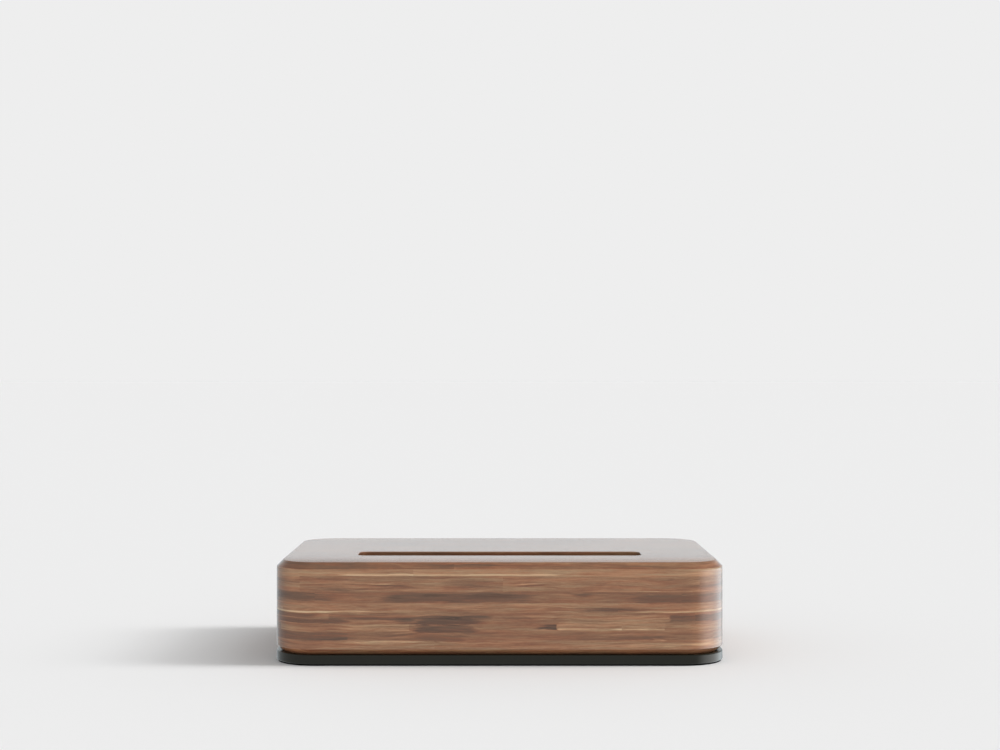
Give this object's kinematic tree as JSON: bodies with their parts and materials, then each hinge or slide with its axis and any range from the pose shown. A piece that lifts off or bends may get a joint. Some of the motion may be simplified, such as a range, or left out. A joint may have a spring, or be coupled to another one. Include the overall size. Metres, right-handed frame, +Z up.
{
  "type": "phone stand",
  "caption": "Low rounded wooden block on a dark steel base plate with rubber feet, with a felt-lined slot in its top that holds a phone upright.",
  "frame": {"origin": "on the table, under the middle of the block: centre of the bottom of the bounding box", "axes": "+Z up; +X along the long side, to the right seen from the front; +Y to the rear; the slot lies nearer the front"},
  "size_m": [0.1194, 0.0694, 0.027],
  "materials": {
    "laminated_wood": "satin lacquer over strip-laminated dark wood",
    "painted_steel": "satin black powder coat",
    "black_steel": "black oxide",
    "brass": "turned",
    "black_rubber": "matte",
    "felt": "pressed wool felt"
  },
  "bodies": {
    "root": {"wood_body": "laminated_wood", "base_plate": "painted_steel", "base_screws": "black_steel", "threaded_inserts": "brass", "foot_front_left": "black_rubber", "foot_front_right": "black_rubber", "foot_rear_left": "black_rubber", "foot_rear_right": "black_rubber", "slot_floor_pad": "felt", "slot_liner_front": "felt", "slot_liner_rear": "felt"}
  },
  "joints": []
}
